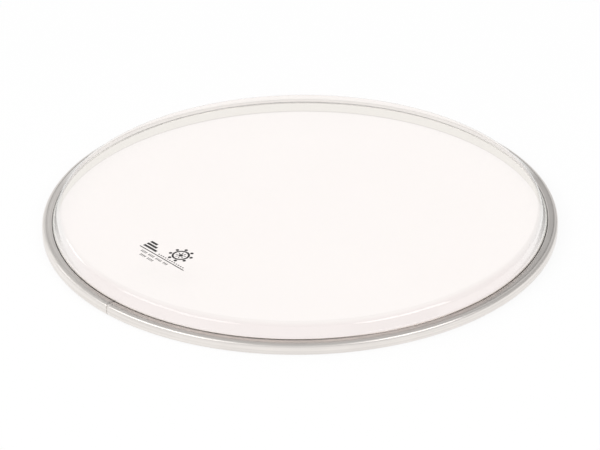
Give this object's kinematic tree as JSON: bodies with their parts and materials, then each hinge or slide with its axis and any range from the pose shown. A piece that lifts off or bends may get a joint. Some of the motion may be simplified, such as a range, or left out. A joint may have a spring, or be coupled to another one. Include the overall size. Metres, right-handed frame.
{
  "type": "drum head",
  "caption": "Round clear film drum head with a formed collar, its edge locked in a rolled aluminium hoop that drops over a drum shell and is pulled down by a counterhoop.",
  "frame": {"origin": "centre of the hoop's bottom face", "axes": "+Z along the head's axis, out of the playing side; +X to the right in the picture's view"},
  "size_m": [0.2666, 0.2666, 0.013],
  "materials": {
    "hoop_aluminium": "satin, with fine rolling lines round the hoop",
    "clear_film": "clear and glossy, faintly warm",
    "ring_steel": "drawn wire, zinc plated",
    "splice_aluminium": "mill finish",
    "cast_resin": "cast, amber",
    "print_ink": "screen printed on the film, dark grey"
  },
  "bodies": {
    "root": {"hoop_channel": "hoop_aluminium", "drum_film": "clear_film", "locking_ring": "ring_steel", "joint_splice": "splice_aluminium", "bonding_resin": "cast_resin"}
  },
  "joints": []
}
